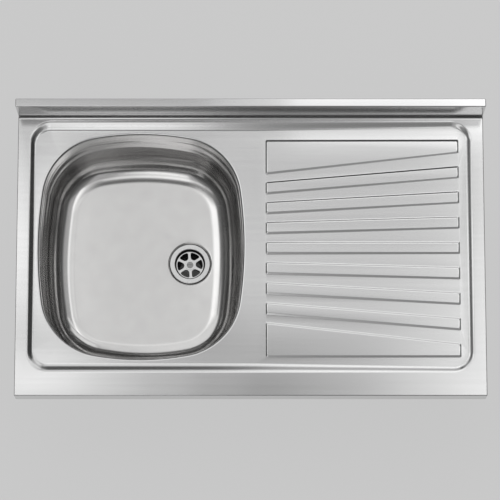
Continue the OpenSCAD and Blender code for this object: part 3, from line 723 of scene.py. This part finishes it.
def dress_all(deck, bowl):
    """Makes the materials and gives each piece its own."""
    # Colour, roughness and how far it varies, stretch of the grain along x, y, z, and its bump
    deck_steel = steel("deck steel", (0.66, 0.66, 0.66), 0.19, 0.02, (0.02, 1, 1), 0.1)
    bowl_steel = steel("bowl steel", (0.66, 0.655, 0.65), 0.15, 0.02, (0.3, 0.3, 1), 0.02)
    add_draw_marks(bowl_steel, depth=3 * MM)
    waste_steel = steel("waste steel", (0.68, 0.68, 0.68), 0.22, 0.03, (1, 1, 1), 0.1)
    # the waste steel gets painted shade on its cup's wall
    paint_cup_shade(waste_steel)
    screw_steel = steel("screw steel", (0.30, 0.30, 0.30), 0.3, 0.05, (1, 1, 1), 0.1)
    tag_steel = steel("tag steel", (0.6, 0.6, 0.6), 0.3, 0.05, (1, 1, 1), 0.1)
    zinc = steel("zinc coat", (0.52, 0.54, 0.57), 0.42, 0.1, (1, 1, 1), 0.3)
    rolled = steel("galvanised sheet", (0.46, 0.48, 0.50), 0.5, 0.1, (0.3, 1, 1), 0.3)
    brass = steel("turned brass", (0.72, 0.52, 0.22), 0.28, 0.04, (1, 1, 0.1), 0.2)
    # Colour, roughness, and the specks' scale and depth
    rubber = soft_matt("black rubber", (0.03, 0.03, 0.032), 0.6, 900, 0.02 * MM)
    felt = soft_matt("bitumen felt", (0.055, 0.055, 0.06), 0.85, 450, 0.2 * MM)
    plastic = soft_matt("dark plastic", (0.035, 0.035, 0.037), 0.45, 600, 0.01 * MM)
    dress(deck, deck_steel)
    dress(bowl, bowl_steel)
    by_node = {
        "waste_flange": waste_steel, "waste_screw": screw_steel, "earth_tag": tag_steel,
        "waste_top_gasket": rubber, "waste_lower_gasket": rubber,
        "waste_body": plastic, "waste_nut": brass,
        "bowl_floor_pad": felt, "bowl_front_pad": felt, "bowl_rear_pad": felt,
        "drainer_pad": felt,
        "front_channel": rolled, "drainer_brace_near": rolled, "drainer_brace_far": rolled,
    }
    for name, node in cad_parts.items():
        if name in by_node:
            dress(node, by_node[name])
        elif name.startswith("bracket_"):
            dress(node, zinc)


# Studio
BACKGROUND = 0.61
FLOOR_GLOW = 0.88  # share of the floor's own colour, the rest is lit and shows the shadow
FLOOR_HALF = 30


def stage_floor():
    """A pale floor under the sink. It shows its own colour and keeps a soft shadow, lies in full
    shade under the sink, and can be looked through from below."""
    bm = bmesh.new()
    bmesh.ops.create_grid(bm, x_segments=1, y_segments=1, size=FLOOR_HALF)
    bmesh.ops.translate(bm, verts=bm.verts, vec=(0, 0, cad_low.z - 1 * MM))
    mesh = bpy.data.meshes.new("studio_floor")
    bm.to_mesh(mesh)
    bm.free()
    floor = bpy.data.objects.new("studio_floor", mesh)
    bpy.context.scene.collection.objects.link(floor)
    material, nodes, links, shader = new_material("pale floor")
    shader.inputs["Base Color"].default_value = (0.8, 0.8, 0.8, 1)
    shader.inputs["Roughness"].default_value = 0.9
    glow = nodes.new("ShaderNodeEmission")
    glow.inputs["Color"].default_value = (BACKGROUND, BACKGROUND, BACKGROUND, 1)
    path = nodes.new("ShaderNodeLightPath")
    mirrored = math_node(nodes, links, "MAXIMUM", path.outputs["Is Glossy Ray"],
                         path.outputs["Is Transmission Ray"])
    seen = math_node(nodes, links, "MAXIMUM", path.outputs["Is Camera Ray"], mirrored)
    share = math_node(nodes, links, "MULTIPLY", seen, FLOOR_GLOW)
    place = nodes.new("ShaderNodeTexCoord")
    apart = nodes.new("ShaderNodeSeparateXYZ")
    links.new(place.outputs["Object"], apart.inputs[0])
    shade_starts, shade_full = 40 * MM, 120 * MM
    inside = []
    for axis, half in (("X", half_w), ("Y", half_d)):
        size = math_node(nodes, links, "ABSOLUTE", apart.outputs[axis])
        inside.append(band(nodes, links, size, half - shade_starts, half - shade_full))
    under = math_node(nodes, links, "MULTIPLY", *inside)
    free = math_node(nodes, links, "SUBTRACT", 1, under)
    lit = math_node(nodes, links, "MULTIPLY", share, free)
    mix = nodes.new("ShaderNodeMixShader")
    links.new(lit, mix.inputs["Fac"])
    links.new(shader.outputs[0], mix.inputs[1])
    links.new(glow.outputs[0], mix.inputs[2])
    side = nodes.new("ShaderNodeNewGeometry")
    below = math_node(nodes, links, "MULTIPLY", side.outputs["Backfacing"],
                      path.outputs["Is Camera Ray"])
    clear = nodes.new("ShaderNodeBsdfTransparent")
    surface = nodes.new("ShaderNodeMixShader")
    links.new(below, surface.inputs["Fac"])
    links.new(mix.outputs[0], surface.inputs[1])
    links.new(clear.outputs[0], surface.inputs[2])
    links.new(surface.outputs[0], nodes["Material Output"].inputs["Surface"])
    floor.data.materials.append(material)


def tilt_node(nodes, links, apart, axis):
    """Angle from straight up, in degrees, towards one axis."""
    angle = math_node(nodes, links, "ARCTAN2", apart.outputs[axis], apart.outputs["Z"])
    return math_node(nodes, links, "DEGREES", angle)


def panel_group():
    """A soft-edged panel between two tilts each way. Puts out 1 inside it and 0 outside."""
    group = bpy.data.node_groups.new("soft panel", "ShaderNodeTree")
    for name in ("Tilt X", "Tilt Y", "Left", "Right", "Front", "Back", "Edge"):
        group.interface.new_socket(name, in_out="INPUT", socket_type="NodeSocketFloat")
    group.interface.new_socket("Inside", in_out="OUTPUT", socket_type="NodeSocketFloat")
    nodes, links = group.nodes, group.links
    entry = nodes.new("NodeGroupInput")
    leave = nodes.new("NodeGroupOutput")
    inside = 1
    for first, second in (("Tilt X", "Left"), ("Right", "Tilt X"),
                          ("Tilt Y", "Front"), ("Back", "Tilt Y")):
        past = math_node(nodes, links, "SUBTRACT", entry.outputs[first], entry.outputs[second])
        share = math_node(nodes, links, "DIVIDE", past, entry.outputs["Edge"])
        soft = band(nodes, links, share, -0.5, 0.5)
        inside = math_node(nodes, links, "MULTIPLY", inside, soft)
    links.new(inside, leave.inputs["Inside"])
    return group


# Soft panels round the sink, by their tilts from straight up in degrees: left, right, front,
# back, width of the soft edge, and brightness
PANELS = [
    (-28, -1.5, -60, -16, 7, 0.5),
    (10, 28, -57, -20, 7, 0.5),
    (-50, 1, 22, 60, 8, 0.95),
    (-12, 8, -12, 3, 5, 0.12),
    (-40, -5, 0, 24, 8, 0.6),
    (1, 50, 22, 64, 5, 0.95),
    (8, 54, -16, 62, 10, 0.5),
]
# The room overhead and low down, and the tilts at which it starts and stops to darken
ZENITH = 0.33
HORIZON = 0.05
ZENITH_TILT = 12
HORIZON_TILT = 70
# Soft lamps near the sink: centre, width and length in metres, turn from facing straight down
# in degrees, and brightness. The level ones are mirrored in the flats, and hang a little apart,
# because a ray meets only one of two lamps at the same height.
LAMPS = [
    (-0.68, 0.38, 1.50, 1.25, 0.43, 0, 0.52),
    (0.35, 0.68, 1.50, 0.80, 1.03, 0, 0.34),
    (0.38, 1.06, 1.52, 0.75, 1.00, 0, 0.12),
    (0.43, -0.09, 1.54, 0.66, 0.82, 0, 0.24),
    (0.01, 0.21, 1.54, 0.18, 0.30, 0, 0.24),
    (0.635, 0.35, 1.56, 0.33, 1.70, 0, 0.42),
    (0.55, -0.17, 1.58, 0.50, 0.65, 0, 0.40),
    (-0.80, 0.20, 1.56, 0.90, 0.50, 0, 0.45),
    (-0.52, -0.145, 0.51, 0.40, 0.10, 0, 0.06),
    (-0.46, -0.145, 0.53, 0.50, 0.10, 0, 0.12),
    (-0.41, -0.145, 0.55, 0.60, 0.10, 0, 0.17),
    (-0.36, -0.145, 0.57, 0.70, 0.10, 0, 0.14),
    (0.32, 0.365, 0.53, 0.50, 0.08, 0, 0.5),
    (0.25, 0.365, 0.55, 0.64, 0.08, 0, 0.2),
    (0.66, 1.30, 0.80, 1.30, 0.90, -75, 0.5),
    (-0.30, -1.15, 1.20, 0.40, 0.35, 48, 0.9),
    (-0.30, -0.72, 1.44, 0.40, 0.72, 25, 0.6),
]


def studio_world():
    """A dark room with soft panels overhead, and a plain grey where the camera looks past the
    floor."""
    world = bpy.data.worlds.new("studio")
    world.use_nodes = True
    bpy.context.scene.world = world
    nodes, links = world.node_tree.nodes, world.node_tree.links
    place = nodes.new("ShaderNodeTexCoord")
    apart = nodes.new("ShaderNodeSeparateXYZ")
    links.new(place.outputs["Generated"], apart.inputs[0])
    tilt_x = tilt_node(nodes, links, apart, "X")
    tilt_y = tilt_node(nodes, links, apart, "Y")
    room = nodes.new("ShaderNodeMapRange")
    room.interpolation_type = "SMOOTHSTEP"
    room.inputs["From Min"].default_value = math.cos(math.radians(HORIZON_TILT))
    room.inputs["From Max"].default_value = math.cos(math.radians(ZENITH_TILT))
    room.inputs["To Min"].default_value = HORIZON
    room.inputs["To Max"].default_value = ZENITH
    links.new(apart.outputs["Z"], room.inputs["Value"])
    total = room.outputs["Result"]
    group = panel_group()
    for left, right, front, back, edge, strength in PANELS:
        panel = nodes.new("ShaderNodeGroup")
        panel.node_tree = group
        links.new(tilt_x, panel.inputs["Tilt X"])
        links.new(tilt_y, panel.inputs["Tilt Y"])
        for socket, value in (("Left", left), ("Right", right), ("Front", front),
                              ("Back", back), ("Edge", edge)):
            panel.inputs[socket].default_value = value
        brighter = nodes.new("ShaderNodeMix")
        brighter.inputs["B"].default_value = strength
        links.new(panel.outputs["Inside"], brighter.inputs["Factor"])
        links.new(total, brighter.inputs["A"])
        total = brighter.outputs["Result"]
    sky = nodes["Background"]
    links.new(total, sky.inputs["Color"])
    plain = nodes.new("ShaderNodeBackground")
    plain.inputs["Color"].default_value = (BACKGROUND, BACKGROUND, BACKGROUND, 1)
    path = nodes.new("ShaderNodeLightPath")
    mix = nodes.new("ShaderNodeMixShader")
    links.new(path.outputs["Is Camera Ray"], mix.inputs["Fac"])
    links.new(sky.outputs[0], mix.inputs[1])
    links.new(plain.outputs[0], mix.inputs[2])
    links.new(mix.outputs[0], nodes["World Output"].inputs["Surface"])


def hang_lamps():
    """Makes the lamps, each as bright as a mirrored panel of its strength."""
    for x, y, z, width, length, turn, strength in LAMPS:
        light = bpy.data.lights.new("soft_lamp", "AREA")
        light.shape = "RECTANGLE"
        light.size = width
        light.size_y = length
        light.energy = math.pi * width * length * strength
        lamp = bpy.data.objects.new("soft_lamp", light)
        lamp.location = (x, y, z)
        lamp.rotation_euler = (math.radians(turn), 0, 0)
        lamp.visible_camera = False
        bpy.context.scene.collection.objects.link(lamp)


def make_camera():
    """Above the sink and a little in front of it, as in the photograph."""
    distance = 5
    tilt = math.radians(11.8)
    aim = Vector((-0.0012, 0.0014, rim_z))
    camera = bpy.data.cameras.new("camera")
    camera.lens = 211.1
    camera.sensor_width = 36
    camera.clip_end = 100
    holder = bpy.data.objects.new("camera", camera)
    bpy.context.scene.collection.objects.link(holder)
    holder.location = aim + distance * Vector((0, -math.sin(tilt), math.cos(tilt)))
    holder.rotation_euler = (tilt, 0, 0)
    bpy.context.scene.camera = holder
    bpy.context.scene.view_settings.view_transform = "Standard"


make_camera()
dress_all(make_deck(), make_bowl())
stage_floor()
studio_world()
hang_lamps()
